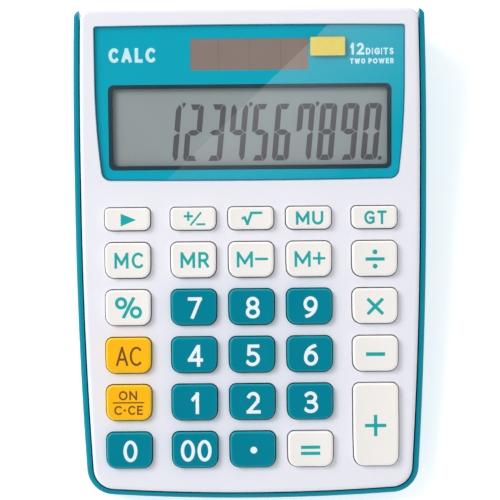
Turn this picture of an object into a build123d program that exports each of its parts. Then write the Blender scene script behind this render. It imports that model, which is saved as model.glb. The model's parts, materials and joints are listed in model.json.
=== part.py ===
from build123d import *
from math import cos, radians, sin, tan
import os

# Desk calculator: a wedge-shaped plastic case with 29 keys, a tilted display and a sliding battery
# door. X is to the right, +Y to the rear (the display end), +Z up. The origin is on the table,
# under the middle of the case. All sizes are in millimetres.

# ---- Driving dimensions ----
LENGTH = 143.4  # case, front to rear
HALF_WIDTH = 52.3  # case, at its widest place
WIDEST_AT = 100.5  # distance of the widest place behind the front edge
SIDE_RADIUS = 1400.0  # plan radius of the long, slightly bowed sides
FRONT_RADIUS = 640.0  # plan radius of the bowed front edge
FRONT_CORNER = 8.0
REAR_CORNER = 2.2

KEYPAD_SLOPE = 5.5  # degrees
DISPLAY_SLOPE = 12.0  # degrees
FRONT_HEIGHT = 10.5  # top surface of the cover at the front edge, above the table
BEND = 91.3  # along the keypad surface, where the display surface starts
BEND_RADIUS = 22.0

FOOT_HEIGHT = 1.0  # how far the rubber feet hold the case off the table
FLOOR = 1.8  # thickness of the housing's floor
UNDER_EDGE = 1.8  # rounding round the housing's underside
HOUSING_WALL = 1.6
HOUSING_FRONT_WALL = 1.3
RIM_DROP = 1.3  # the housing's rim lies this far below the cover's surface
COVER_INSET = 2.0  # cover's edge behind the housing's side
COVER_FRONT_INSET = 1.65
COVER_WALL = 1.5
COVER_EDGE = 1.2  # rounding round the cover's top surface
RIM_EDGE = 0.9
COVER_TOP = 2.0  # thickness of the cover's top wall
LIP_DEPTH = 4.6  # the cover's skirt reaches this far below its surface
REAR_JOINT = 14.0  # height of the seam between housing and cover at the rear
JOINT_GAP = 0.2

KEY_GAP = 0.35  # all round between a cap and its opening
KEY_RISE = 2.2  # cap top above the cover
KEY_EDGE = 0.7
KEY_DISH = 80.0  # radius of the shallow trough along each cap
KEY_DISH_DEPTH = 0.3
FINGER_DEPTH = 0.55  # round hollow that marks the middle key, below the highest part of its cap
FINGER_RADIUS = 30.0
KEY_WALL = 1.1
FLANGE_OUT = 0.8
FLANGE_TOP = -2.1
FLANGE_BOTTOM = -2.9
CROWN_INSIDE = 1.0  # inner side of the cap's top wall
PLUNGER_RADIUS = 1.7
PLUNGER_END = -3.25

DOME_TOP = -3.3
MAT_TOP = -5.5
MAT_BOTTOM = -6.1
BOARD_BOTTOM = -7.3
DOME_FOOT_RADIUS = 3.9
DOME_HEAD_RADIUS = 2.1
DOME_WALL = 0.5
PILL_RADIUS = 1.4
PILL_TOP = -4.6  # below the plunger of a key that is pressed all the way
PILL = 0.2

RECESS = 1.45  # depth of the window's seat in the cover
LENS_DOWN = 0.05
LENS = 1.27
FILM = 0.1  # printed film at the bottom of the seat, with a hair of air under the lens
DECK_BOTTOM = 2.65  # underside of the cover below the window
WINDOW_FRONT = 2.6  # along the display surface, behind the bend
WINDOW_REAR = 48.9
WINDOW_BOW = 0.3
WINDOW_HALF = 45.9
WINDOW_TAPER_AT = 33.0
WINDOW_FRONT_HALF = 43.93

LCD_AT = 18.6  # centre along the display surface
LCD_BEZEL = (83.8, 25.3)
LCD_VIEW = (81.2, 22.8)
LCD_GLASS = (90.0, 29.5)
LCD_LEDGE = 2.8  # contact ledge at the front of the front glass
SOLAR_AT = 40.0
SOLAR_WINDOW = (34.8, 9.3)
SOLAR_CELL = (37.0, 11.0)

COLUMNS = (-36.5, -17.07, 0.0, 17.07, 36.5)
ROWS = (82.9, 70.7, 56.7, 42.6, 28.6, 14.55)  # along the keypad surface, rear row first
TALL_KEY_AT = 21.6

BOARD_HALF_WIDTH = 44.3
BOARD_FRONT = 9.0
BOARD_REAR = 92.0
MAT_REAR = 87.4
SCREW_COLUMN = 26.8  # between the outer and the inner key columns
BOARD_SCREW_ROWS = (21.6, 49.6, 76.8)
CASE_SCREWS = (  # x, distance behind the front edge, height where post and boss meet
    (SCREW_COLUMN, 5.9, 5.4),
    (47.2, 62.0, 8.4),
    (42.6, 135.5, 12.0),
)

DOOR_X = 20.0
DOOR_WIDTH = 20.0
DOOR_START = 112.0
DOOR_THICK = 1.6
CELL_AT = 126.0
CELL_RADIUS = 5.8
CELL_HEIGHT = 5.4

TALL = 60.0  # longer than anything that is cut

front_y = -LENGTH / 2
bend_turn = DISPLAY_SLOPE - KEYPAD_SLOPE
a = radians(KEYPAD_SLOPE)
b = radians(DISPLAY_SLOPE)
keypad_plane = Plane(origin=(0, front_y, FRONT_HEIGHT), x_dir=(1, 0, 0), z_dir=(0, -sin(a), cos(a)))
bend_point = keypad_plane.from_local_coords((0, BEND, 0))
display_plane = Plane(origin=bend_point, x_dir=(1, 0, 0), z_dir=(0, -sin(b), cos(b)))

pieces = {}


def finish(part, name):
    """Label a finished piece and write its STEP file."""
    part.label = name
    pieces[name] = part
    export_step(part, f"parts/{name}.step")


def on(plane, x, along, height):
    """A plane parallel to the given one, moved to a place on it and a height above it."""
    place = plane.from_local_coords((x, along, height))
    return Plane(origin=place, x_dir=plane.x_dir, z_dir=plane.z_dir)


def side_point(plane, along, height):
    """Y and Z of a point on the case's middle plane, for sketches on Plane.YZ."""
    place = plane.from_local_coords((0, along, height))
    return (place.Y, place.Z)


def plan_outline(side_inset, front_inset, rear_inset, front_corner, rear_corner):
    """The case's outline seen from above, moved inwards, on the XY plane."""

    def half_width(y):
        return HALF_WIDTH - side_inset - (y - WIDEST_AT) ** 2 / (2 * SIDE_RADIUS)

    rear = LENGTH - rear_inset
    front = front_inset + half_width(0) ** 2 / (2 * FRONT_RADIUS)
    left_front = (-half_width(front), front + front_y)
    right_front = (half_width(front), front + front_y)
    left_rear = (-half_width(rear), rear + front_y)
    right_rear = (half_width(rear), rear + front_y)
    middle = WIDEST_AT + front_y
    with BuildSketch(Plane.XY) as outline:
        with BuildLine():
            ThreePointArc(left_front, (0, front_inset + front_y), right_front)
            ThreePointArc(right_front, (half_width(WIDEST_AT), middle), right_rear)
            Line(right_rear, left_rear)
            ThreePointArc(left_rear, (-half_width(WIDEST_AT), middle), left_front)
        make_face()
        corners = outline.vertices().group_by(Axis.Y)
        fillet(corners[0], front_corner)
        fillet(outline.vertices().group_by(Axis.Y)[-1], rear_corner)
    return outline.sketch


def side_profile(depth, bottom=-TALL):
    """The region under the case's top surface, lowered by depth, on the YZ plane."""
    past = 10.0
    bend_along = BEND + depth * tan(radians(bend_turn) / 2)
    bend = side_point(keypad_plane, bend_along, -depth)
    with BuildSketch(Plane.YZ) as profile:
        with BuildLine():
            Polyline(
                (front_y - past, bottom),
                side_point(keypad_plane, -past, -depth),
                bend,
                side_point(display_plane, LENGTH - BEND + past, -depth),
                (-front_y + past, bottom),
                close=True,
            )
        make_face()
        fillet(profile.vertices().sort_by_distance((bend[0], bend[1], 0))[0], BEND_RADIUS + depth)
    return profile.sketch


def rounded_rectangle(plane, size, radius):
    with BuildSketch(plane) as outline:
        RectangleRounded(size[0], size[1], radius)
    return outline.sketch


def disc(plane, radius):
    with BuildSketch(plane) as outline:
        Circle(radius)
    return outline.sketch


def top_edges(part):
    """The edges round the top surface: those that only one of its upward faces has."""
    upward = [face for face in part.faces() if face.normal_at(face.center()).Z > 0.9]
    edges = [edge for face in upward for edge in face.edges()]
    return [edge for edge in edges if sum(edge.is_same(other) for other in edges) == 1]


def window_outline(inset, height):
    """The window's outline: straight rear half, sides drawn in towards the front."""
    half_rear = WINDOW_HALF - inset
    half_front = WINDOW_FRONT_HALF - inset
    rear = WINDOW_REAR - inset
    front = WINDOW_FRONT + inset
    with BuildSketch(display_plane.offset(height)) as outline:
        with BuildLine():
            ThreePointArc((-half_front, front + WINDOW_BOW), (0, front), (half_front, front + WINDOW_BOW))
            TangentArc((half_rear, WINDOW_TAPER_AT), (half_front, front + WINDOW_BOW), tangent=(0, -1))
            Line((half_rear, WINDOW_TAPER_AT), (half_rear, rear - WINDOW_BOW))
            ThreePointArc((half_rear, rear - WINDOW_BOW), (0, rear), (-half_rear, rear - WINDOW_BOW))
            Line((-half_rear, rear - WINDOW_BOW), (-half_rear, WINDOW_TAPER_AT))
            TangentArc((-half_rear, WINDOW_TAPER_AT), (-half_front, front + WINDOW_BOW), tangent=(0, -1))
        make_face()
        ends = outline.vertices().group_by(Axis.Y)
        fillet(ends[0], 3.0 - inset)
        fillet(outline.vertices().group_by(Axis.Y)[-1], 0.9 - inset)
    return outline.sketch


os.makedirs("parts", exist_ok=True)

# ---- Keys ----
# Each shape: rear width, front width, length, rear corner, front corner, of the line that runs
# in the middle of the gap round the cap.
STANDARD = (13.6, 13.0, 10.68, 2.1, 2.85)
THIN = (13.67, 13.55, 6.88, 1.5, 2.2)
LONG = (13.64, 13.1, 24.7, 2.1, 3.1)

KEYS = (  # shape, row position and names from left to right
    (THIN, ROWS[0], ("backspace", "sign_change", "square_root", "markup", "grand_total")),
    (STANDARD, ROWS[1], ("memory_clear", "memory_recall", "memory_minus", "memory_plus", "divide")),
    (STANDARD, ROWS[2], ("percent", "7", "8", "9", "multiply")),
    (STANDARD, ROWS[3], ("all_clear", "4", "5", "6", "minus")),
    (STANDARD, ROWS[4], ("on_clear", "1", "2", "3")),
    (STANDARD, ROWS[5], ("0", "00", "point", "equals")),
)
key_places = [
    (f"key_{name}", shape, x, along)
    for shape, along, names in KEYS
    for name, x in zip(names, COLUMNS)
]
key_places.append(("key_plus", LONG, COLUMNS[-1], TALL_KEY_AT))


def key_outline(plane, shape, grow):
    """A cap's outline, made larger by grow all round: the sides draw in towards the front."""
    rear_width, front_width, length, rear_corner, front_corner = shape
    half_rear = rear_width / 2 + grow
    half_front = front_width / 2 + grow
    half_length = length / 2 + grow
    with BuildSketch(plane) as outline:
        with BuildLine():
            Line((-half_rear, half_length), (half_rear, half_length))
            Line((half_rear, half_length), (half_rear, 0))
            TangentArc((half_rear, 0), (half_front, -half_length), tangent=(0, -1))
            Line((half_front, -half_length), (-half_front, -half_length))
            TangentArc((-half_rear, 0), (-half_front, -half_length), tangent=(0, -1))
            Line((-half_rear, 0), (-half_rear, half_length))
        make_face()
        fillet(outline.vertices().group_by(Axis.Y)[0], front_corner + grow)
        fillet(outline.vertices().group_by(Axis.Y)[-1], rear_corner + grow)
    return outline.sketch


def key_cap(name, shape, x, along):
    """A hollow cap with a retaining flange below the cover and a plunger over its dome."""
    base = on(keypad_plane, x, along, FLANGE_BOTTOM)
    flange_base = on(keypad_plane, x, along, FLANGE_TOP)
    trough_centre = keypad_plane.from_local_coords((x, along, KEY_RISE + KEY_DISH - KEY_DISH_DEPTH))
    trough = Plane(origin=trough_centre, x_dir=(1, 0, 0), z_dir=keypad_plane.y_dir)
    with BuildPart() as cap:
        extrude(key_outline(flange_base, shape, -KEY_GAP / 2), amount=KEY_RISE - FLANGE_TOP)
        extrude(disc(trough, KEY_DISH), amount=20, both=True, mode=Mode.SUBTRACT)
        crown = cap.faces().sort_by(Axis((0, 0, 0), tuple(keypad_plane.z_dir)))[-1]
        fillet(crown.edges(), KEY_EDGE)
        extrude(key_outline(base, shape, FLANGE_OUT), amount=FLANGE_TOP - FLANGE_BOTTOM)
        extrude(
            key_outline(base, shape, -KEY_GAP / 2 - KEY_WALL),
            amount=CROWN_INSIDE - FLANGE_BOTTOM,
            mode=Mode.SUBTRACT,
        )
        plunger = on(keypad_plane, x, along, PLUNGER_END)
        extrude(disc(plunger, PLUNGER_RADIUS), amount=CROWN_INSIDE - PLUNGER_END)
        if name == "key_5":
            with Locations(on(keypad_plane, x, along, KEY_RISE + FINGER_RADIUS - FINGER_DEPTH)):
                Sphere(FINGER_RADIUS, mode=Mode.SUBTRACT)
    return cap.part


for key_name, key_shape, key_x, key_along in key_places:
    finish(key_cap(key_name, key_shape, key_x, key_along), key_name)

# ---- Front cover: white top shell with the key openings and the window's seat ----
LIP_STEP = 9.0  # the skirt gets deeper this far in front of the rear face
boss_radius = 2.4
pilot_radius = 0.95

with BuildPart() as cover_inside:
    cavity = plan_outline(
        COVER_INSET + COVER_WALL, COVER_FRONT_INSET + COVER_WALL, COVER_WALL, 4.8, 1.6
    )
    extrude(cavity, amount=TALL)
    extrude(side_profile(COVER_TOP), amount=TALL, both=True, mode=Mode.INTERSECT)

with BuildPart() as below_skirt:
    step_foot = LENGTH + front_y - LIP_STEP + 1.5
    with BuildSketch(Plane.YZ) as skirt_line:
        with BuildLine():
            Polyline(
                (front_y - TALL, -TALL),
                side_point(keypad_plane, -TALL, -LIP_DEPTH),
                side_point(keypad_plane, BEND, -LIP_DEPTH),
                side_point(display_plane, LENGTH - BEND - LIP_STEP, -LIP_DEPTH),
                (step_foot, REAR_JOINT + JOINT_GAP),
                (-front_y + TALL, REAR_JOINT + JOINT_GAP),
                (-front_y + TALL, -TALL),
                close=True,
            )
        make_face()
    extrude(amount=TALL, both=True)

with BuildPart() as cover_bosses:
    for post_x, post_y, post_top in CASE_SCREWS:
        for side in (-1, 1):
            post = Plane((side * post_x, post_y + front_y, post_top + JOINT_GAP))
            extrude(disc(post, boss_radius), amount=TALL)
    for screw_along in BOARD_SCREW_ROWS:
        for side in (-1, 1):
            pillar = on(keypad_plane, side * SCREW_COLUMN, screw_along, MAT_BOTTOM)
            extrude(disc(pillar, 1.7), amount=TALL)
    extrude(side_profile(COVER_TOP - 0.1), amount=TALL, both=True, mode=Mode.INTERSECT)

with BuildPart() as front_cover:
    extrude(plan_outline(COVER_INSET, COVER_FRONT_INSET, 0, 6.2, 3.0), amount=TALL)
    extrude(side_profile(0), amount=TALL, both=True, mode=Mode.INTERSECT)
    fillet(top_edges(front_cover), COVER_EDGE)
    add(below_skirt.part, mode=Mode.SUBTRACT)
    add(cover_inside.part, mode=Mode.SUBTRACT)
    # the deck under the window is a little thicker than the rest
    extrude(window_outline(-2.0, -DECK_BOTTOM), amount=DECK_BOTTOM - COVER_TOP + 0.1)
    add(cover_bosses.part)
    extrude(window_outline(0, -RECESS), amount=TALL / 4, mode=Mode.SUBTRACT)
    lcd_opening = on(display_plane, 0, LCD_AT, -DECK_BOTTOM)
    extrude(rounded_rectangle(lcd_opening, LCD_BEZEL, 1.8), amount=DECK_BOTTOM, mode=Mode.SUBTRACT)
    solar_opening = on(display_plane, 0, SOLAR_AT, -DECK_BOTTOM)
    extrude(rounded_rectangle(solar_opening, SOLAR_CELL, 0.6), amount=DECK_BOTTOM, mode=Mode.SUBTRACT)
    for _, key_shape, key_x, key_along in key_places:
        opening = on(keypad_plane, key_x, key_along, -COVER_TOP - 1)
        extrude(key_outline(opening, key_shape, KEY_GAP / 2), amount=COVER_TOP + 2, mode=Mode.SUBTRACT)
    for post_x, post_y, post_top in CASE_SCREWS:
        for side in (-1, 1):
            post = Plane((side * post_x, post_y + front_y, post_top))
            extrude(disc(post, pilot_radius), amount=3.4, mode=Mode.SUBTRACT)
    for screw_along in BOARD_SCREW_ROWS:
        for side in (-1, 1):
            pillar = on(keypad_plane, side * SCREW_COLUMN, screw_along, MAT_BOTTOM)
            extrude(disc(pillar, 0.7), amount=3.0, mode=Mode.SUBTRACT)
finish(front_cover.part, "front_cover")

# ---- Rear housing: teal tub whose rim shows round the cover ----
floor_top = FOOT_HEIGHT + FLOOR
post_radius = 3.2
counterbore_radius = 2.2
web = 1.2
door_play = 0.15
TONGUE = 1.2
BLOCK = (26.0, 30.0)
WELL_RADIUS = CELL_RADIUS + 0.35
WELL_TOP = 9.0
block_top = WELL_TOP + 1.2
door_top = FOOT_HEIGHT + DOOR_THICK
door_gap_top = door_top + door_play
FEET = ((41.0, 15.0), (41.0, 127.0))
FOOT_RADIUS = 4.0
FOOT_SEAT = 0.6
LABEL = (38.0, 18.0)

with BuildPart() as housing_inside:
    inside = plan_outline(HOUSING_WALL, HOUSING_FRONT_WALL, HOUSING_WALL, 6.6, 1.0)
    with BuildSketch(Plane.XY.offset(floor_top)):
        add(inside)
    extrude(amount=TALL)
    # above the rear seam the rear is open, because the cover closes it
    with BuildSketch(Plane.XY.offset(REAR_JOINT)):
        with Locations((0, -front_y)):
            Rectangle(2 * (HALF_WIDTH - COVER_INSET) - 0.5, 30)
    extrude(amount=TALL)
    for post_x, post_y, post_top in CASE_SCREWS:
        for side in (-1, 1):
            post = Plane((side * post_x, post_y + front_y, 0))
            extrude(disc(post, post_radius), amount=post_top, mode=Mode.SUBTRACT)
    with BuildSketch(Plane.XY):
        with Locations((DOOR_X, CELL_AT + front_y)):
            RectangleRounded(BLOCK[0], BLOCK[1], 2.0)
    extrude(amount=block_top, mode=Mode.SUBTRACT)

with BuildPart() as housing_outside:
    with BuildSketch(Plane.XY.offset(FOOT_HEIGHT)):
        add(plan_outline(0, 0, 0, FRONT_CORNER, REAR_CORNER))
    extrude(amount=TALL)
    extrude(side_profile(RIM_DROP), amount=TALL, both=True, mode=Mode.INTERSECT)
    fillet(housing_outside.faces().sort_by(Axis.Z)[0].edges(), UNDER_EDGE)
    fillet(top_edges(housing_outside), RIM_EDGE)

with BuildPart() as rear_housing:
    add(housing_outside.part)
    add(housing_inside.part, mode=Mode.SUBTRACT)
    for post_x, post_y, post_top in CASE_SCREWS:
        for side in (-1, 1):
            post = Plane((side * post_x, post_y + front_y, 0))
            extrude(disc(post, counterbore_radius), amount=post_top - web, mode=Mode.SUBTRACT)
            extrude(disc(post, 1.15), amount=post_top, mode=Mode.SUBTRACT)
    for foot_x, foot_y in FEET:
        for side in (-1, 1):
            seat = Plane((side * foot_x, foot_y + front_y, 0))
            extrude(disc(seat, FOOT_RADIUS), amount=FOOT_HEIGHT + FOOT_SEAT, mode=Mode.SUBTRACT)
    # doorway and its two side grooves, open at the rear, and the well above it
    door_length = LENGTH - DOOR_START
    with BuildSketch(Plane.XY):
        with Locations((DOOR_X, DOOR_START + door_length / 2 + front_y)):
            Rectangle(DOOR_WIDTH + 2 * door_play, door_length + 2 * door_play)
    extrude(amount=door_gap_top, mode=Mode.SUBTRACT)
    with BuildSketch(Plane.XY.offset(door_gap_top - 1.0)):
        with Locations((DOOR_X, DOOR_START + door_length / 2 + front_y + 1.5)):
            Rectangle(DOOR_WIDTH + 2 * TONGUE + 2 * door_play, door_length)
    extrude(amount=1.0, mode=Mode.SUBTRACT)
    well = Plane((DOOR_X, CELL_AT + front_y, door_top))
    extrude(disc(well, WELL_RADIUS), amount=WELL_TOP - door_top, mode=Mode.SUBTRACT)
    # slots for the two contacts: one through the roof, one down the side of the well
    with BuildSketch(Plane.XY.offset(WELL_TOP - 0.5)):
        with Locations((DOOR_X + 3.4, CELL_AT + front_y)):
            Rectangle(0.6, 3.4)
    extrude(amount=5, mode=Mode.SUBTRACT)
    with BuildSketch(Plane.XY.offset(door_gap_top)):
        with Locations((DOOR_X - WELL_RADIUS, CELL_AT + front_y)):
            Rectangle(1.2, 4.4)
    extrude(amount=8, mode=Mode.SUBTRACT)
    # shallow blank seat for a rating label
    with BuildSketch(Plane.XY):
        with Locations((-18.0, 118.0 + front_y)):
            RectangleRounded(LABEL[0], LABEL[1], 1.5)
    extrude(amount=FOOT_HEIGHT + 0.3, mode=Mode.SUBTRACT)
finish(rear_housing.part, "rear_housing")

# ---- Battery door: a flat lid that slides out to the rear ----
with BuildPart() as battery_door:
    with BuildSketch(Plane.XY):
        with Locations((DOOR_X, DOOR_START + door_length / 2 + front_y)):
            Rectangle(DOOR_WIDTH, door_length)
    extrude(amount=door_top)
    with BuildSketch(Plane.XY.offset(door_top - 0.7)):
        with Locations((DOOR_X, DOOR_START + 15.0 + front_y)):
            Rectangle(DOOR_WIDTH + 2 * TONGUE, 22.0)
    extrude(amount=0.7)
    add(housing_outside.part, mode=Mode.INTERSECT)
    for groove in range(5):
        with BuildSketch(Plane.XY):
            with Locations((DOOR_X, DOOR_START + 16.0 + 2.2 * groove + front_y)):
                SlotOverall(12.0, 1.0)
        extrude(amount=FOOT_HEIGHT + 0.4, mode=Mode.SUBTRACT)
finish(battery_door.part, "battery_door")

# ---- Rubber feet, all four alike ----
with BuildPart() as rubber_feet:
    for foot_x, foot_y in FEET:
        for side in (-1, 1):
            foot = Plane((side * foot_x, foot_y + front_y, 0))
            extrude(disc(foot, FOOT_RADIUS), amount=FOOT_HEIGHT + FOOT_SEAT)
    chamfer(rubber_feet.faces().group_by(Axis.Z)[0].edges(), 0.4)
finish(rubber_feet.part, "rubber_feet")

# ---- Screws ----
with BuildPart() as case_screws:
    for post_x, post_y, post_top in CASE_SCREWS:
        for side in (-1, 1):
            head = Plane((side * post_x, post_y + front_y, post_top - web - 1.4))
            extrude(disc(head, 2.0), amount=1.4)
            extrude(disc(head.offset(1.4), pilot_radius), amount=web + 3.2)
            with BuildSketch(head):
                Rectangle(2.2, 0.5)
                Rectangle(0.5, 2.2)
            extrude(amount=0.8, mode=Mode.SUBTRACT)
finish(case_screws.part, "case_screws")

with BuildPart() as board_screws:
    for screw_along in BOARD_SCREW_ROWS:
        for side in (-1, 1):
            shank = on(keypad_plane, side * SCREW_COLUMN, screw_along, BOARD_BOTTOM)
            extrude(disc(shank, 0.7), amount=BOARD_BOTTOM * -1 + MAT_BOTTOM + 2.6)
            extrude(disc(shank, 1.6), amount=-0.9)
finish(board_screws.part, "board_screws")

# ---- Keypad mat: one silicone sheet with a dome under each key, and the carbon pills ----
mat_length = MAT_REAR - BOARD_FRONT
with BuildPart() as keypad_mat:
    sheet = on(keypad_plane, 0, BOARD_FRONT + mat_length / 2, MAT_BOTTOM)
    extrude(rounded_rectangle(sheet, (2 * BOARD_HALF_WIDTH, mat_length), 1.0), amount=MAT_TOP - MAT_BOTTOM)
    for _, _, key_x, key_along in key_places:
        with BuildSketch(on(keypad_plane, key_x, key_along, MAT_TOP)):
            Circle(DOME_FOOT_RADIUS)
        with BuildSketch(on(keypad_plane, key_x, key_along, DOME_TOP)):
            Circle(DOME_HEAD_RADIUS)
        loft()
    for _, _, key_x, key_along in key_places:
        with BuildSketch(on(keypad_plane, key_x, key_along, MAT_BOTTOM)):
            Circle(DOME_FOOT_RADIUS - DOME_WALL)
        with BuildSketch(on(keypad_plane, key_x, key_along, DOME_TOP - DOME_WALL)):
            Circle(DOME_HEAD_RADIUS - DOME_WALL)
        loft(mode=Mode.SUBTRACT)
        # the post inside the dome carries the pill
        post = on(keypad_plane, key_x, key_along, PILL_TOP)
        extrude(disc(post, PILL_RADIUS), amount=DOME_TOP - DOME_WALL / 2 - PILL_TOP)
    for screw_along in BOARD_SCREW_ROWS:
        for side in (-1, 1):
            hole = on(keypad_plane, side * SCREW_COLUMN, screw_along, MAT_BOTTOM)
            extrude(disc(hole, 2.0), amount=1, mode=Mode.SUBTRACT)
finish(keypad_mat.part, "keypad_mat")

with BuildPart() as carbon_pills:
    for _, _, key_x, key_along in key_places:
        pill = on(keypad_plane, key_x, key_along, PILL_TOP)
        extrude(disc(pill, PILL_RADIUS), amount=-PILL)
finish(carbon_pills.part, "carbon_pills")

# ---- Main board and what is soldered on it ----
board_length = BOARD_REAR - BOARD_FRONT
with BuildPart() as main_board:
    board = on(keypad_plane, 0, BOARD_FRONT + board_length / 2, BOARD_BOTTOM)
    extrude(rounded_rectangle(board, (2 * BOARD_HALF_WIDTH, board_length), 1.0), amount=MAT_BOTTOM - BOARD_BOTTOM)
    for screw_along in BOARD_SCREW_ROWS:
        for side in (-1, 1):
            hole = on(keypad_plane, side * SCREW_COLUMN, screw_along, BOARD_BOTTOM)
            extrude(disc(hole, 0.9), amount=2, mode=Mode.SUBTRACT)
finish(main_board.part, "main_board")

CHIP_AT = (0.0, 66.0)
with BuildPart() as chip_cover:
    with BuildSketch(on(keypad_plane, CHIP_AT[0], CHIP_AT[1], BOARD_BOTTOM)):
        Circle(6.5)
    with BuildSketch(on(keypad_plane, CHIP_AT[0], CHIP_AT[1], BOARD_BOTTOM - 1.2)):
        Circle(4.2)
    loft()
finish(chip_cover.part, "chip_cover")

CAPACITOR_AT = (20.0, 84.0)
with BuildPart() as filter_capacitor:
    can = on(keypad_plane, CAPACITOR_AT[0], CAPACITOR_AT[1], BOARD_BOTTOM)
    extrude(disc(can, 2.0), amount=-5.0)
    end_edges = filter_capacitor.edges().sort_by(Axis.Z)[:1]
    fillet(end_edges, 0.4)
finish(filter_capacitor.part, "filter_capacitor")

# ---- Window: clear lens over a printed film ----
with BuildPart() as window_lens:
    lens_base = window_outline(0.1, -LENS_DOWN - LENS)
    extrude(lens_base, amount=LENS)
    chamfer(window_lens.faces().sort_by(Axis((0, 0, 0), tuple(display_plane.z_dir)))[-1].edges(), 0.2)
finish(window_lens.part, "window_lens")

with BuildPart() as window_film:
    extrude(window_outline(0.1, -RECESS), amount=FILM)
    view = on(display_plane, 0, LCD_AT, -RECESS)
    extrude(rounded_rectangle(view, LCD_BEZEL, 1.8), amount=FILM, mode=Mode.SUBTRACT)
    view = on(display_plane, 0, SOLAR_AT, -RECESS)
    extrude(rounded_rectangle(view, SOLAR_WINDOW, 0.5), amount=FILM, mode=Mode.SUBTRACT)
finish(window_film.part, "window_film")

with BuildPart() as foil_sticker:
    foil = on(display_plane, 23.05, 42.2, -LENS_DOWN)
    extrude(rounded_rectangle(foil, (10.2, 5.45), 0.3), amount=0.05)
finish(foil_sticker.part, "foil_sticker")

# ---- Display module, below the window ----
GASKET = 0.35
GLASS = 1.0
POLARISER = 0.2
lcd_top = DECK_BOTTOM + GASKET

with BuildPart() as lcd_bezel:
    bezel = on(display_plane, 0, LCD_AT, -DECK_BOTTOM)
    bezel_height = DECK_BOTTOM - RECESS + FILM
    extrude(rounded_rectangle(bezel, LCD_BEZEL, 1.8), amount=bezel_height)
    extrude(rounded_rectangle(bezel, LCD_VIEW, 1.0), amount=bezel_height, mode=Mode.SUBTRACT)
finish(lcd_bezel.part, "lcd_bezel")

with BuildPart() as lcd_gasket:
    gasket = on(display_plane, 0, LCD_AT, -lcd_top)
    extrude(rounded_rectangle(gasket, LCD_GLASS, 0.5), amount=GASKET)
    extrude(rounded_rectangle(gasket, (84.4, 25.0), 0.5), amount=GASKET, mode=Mode.SUBTRACT)
finish(lcd_gasket.part, "lcd_gasket")

with BuildPart() as lcd_polariser:
    sheet = on(display_plane, 0, LCD_AT, -lcd_top)
    extrude(rounded_rectangle(sheet, (84.0, 24.6), 0.4), amount=POLARISER)
finish(lcd_polariser.part, "lcd_polariser")

with BuildPart() as lcd_front_glass:
    sheet = on(display_plane, 0, LCD_AT, -lcd_top)
    extrude(rounded_rectangle(sheet, LCD_GLASS, 0.3), amount=-GLASS)
finish(lcd_front_glass.part, "lcd_front_glass")

rear_glass_length = LCD_GLASS[1] - LCD_LEDGE
rear_glass_at = LCD_AT + LCD_LEDGE / 2
with BuildPart() as lcd_rear_glass:
    sheet = on(display_plane, 0, rear_glass_at, -lcd_top - GLASS)
    extrude(rounded_rectangle(sheet, (LCD_GLASS[0], rear_glass_length), 0.3), amount=-GLASS)
finish(lcd_rear_glass.part, "lcd_rear_glass")

with BuildPart() as lcd_reflector:
    sheet = on(display_plane, 0, rear_glass_at, -lcd_top - 2 * GLASS)
    extrude(rounded_rectangle(sheet, (86.0, rear_glass_length - 1.6), 0.4), amount=-POLARISER)
finish(lcd_reflector.part, "lcd_reflector")

# flat ribbon from the contact ledge down to the rear edge of the board
ribbon_thick = 0.12
ledge_front = LCD_AT - LCD_GLASS[1] / 2
with BuildPart() as heat_seal_ribbon:
    with BuildSketch(Plane.YZ):
        with BuildLine():
            FilletPolyline(
                side_point(display_plane, ledge_front + 2.2, -lcd_top - GLASS - ribbon_thick / 2),
                side_point(display_plane, ledge_front - 0.8, -lcd_top - GLASS - ribbon_thick / 2),
                side_point(keypad_plane, BOARD_REAR, MAT_BOTTOM + ribbon_thick / 2),
                side_point(keypad_plane, BOARD_REAR - 3.2, MAT_BOTTOM + ribbon_thick / 2),
                radius=0.6,
            )
        trace(line_width=ribbon_thick)
    extrude(amount=36.0, both=True)
finish(heat_seal_ribbon.part, "heat_seal_ribbon")

with BuildPart() as solar_cell:
    cell = on(display_plane, 0, SOLAR_AT, -DECK_BOTTOM)
    extrude(
        rounded_rectangle(cell, (SOLAR_CELL[0] - 0.4, SOLAR_CELL[1] - 0.4), 0.4),
        amount=DECK_BOTTOM - RECESS,
    )
finish(solar_cell.part, "solar_cell")

# ---- Button cell and its contacts ----
with BuildPart() as button_cell:
    can = Plane((DOOR_X, CELL_AT + front_y, door_gap_top + 0.1))
    extrude(disc(can, CELL_RADIUS), amount=CELL_HEIGHT - 0.7)
    extrude(disc(can.offset(CELL_HEIGHT - 0.7), CELL_RADIUS - 1.1), amount=0.7)
    fillet(button_cell.edges().group_by(Axis.Z)[0], 0.5)
finish(button_cell.part, "button_cell")
cell_top = door_gap_top + 0.1 + CELL_HEIGHT

contact_thick = 0.25
contact_half = 1.5
with BuildPart() as battery_negative_contact:
    with BuildSketch(Plane.XZ.offset(-(CELL_AT + front_y))):
        with BuildLine():
            Polyline(
                (DOOR_X - 3.5, WELL_TOP - contact_thick),
                (DOOR_X, cell_top + contact_thick / 2 + 0.08),
                (DOOR_X + 3.4, WELL_TOP - contact_thick),
                (DOOR_X + 3.4, block_top + 1.6),
            )
        trace(line_width=contact_thick)
    extrude(amount=contact_half, both=True)
finish(battery_negative_contact.part, "battery_negative_contact")

with BuildPart() as battery_positive_contact:
    with BuildSketch(Plane.XZ.offset(-(CELL_AT + front_y))):
        with BuildLine():
            Polyline(
                (DOOR_X - WELL_RADIUS - 0.3, door_gap_top + 0.3),
                (DOOR_X - CELL_RADIUS - 0.14, door_gap_top + 3.0),
                (DOOR_X - WELL_RADIUS - 0.3, door_gap_top + 5.5),
                (DOOR_X - WELL_RADIUS - 0.3, block_top + 1.6),
            )
        trace(line_width=contact_thick)
    extrude(amount=contact_half, both=True)
finish(battery_positive_contact.part, "battery_positive_contact")

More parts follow.
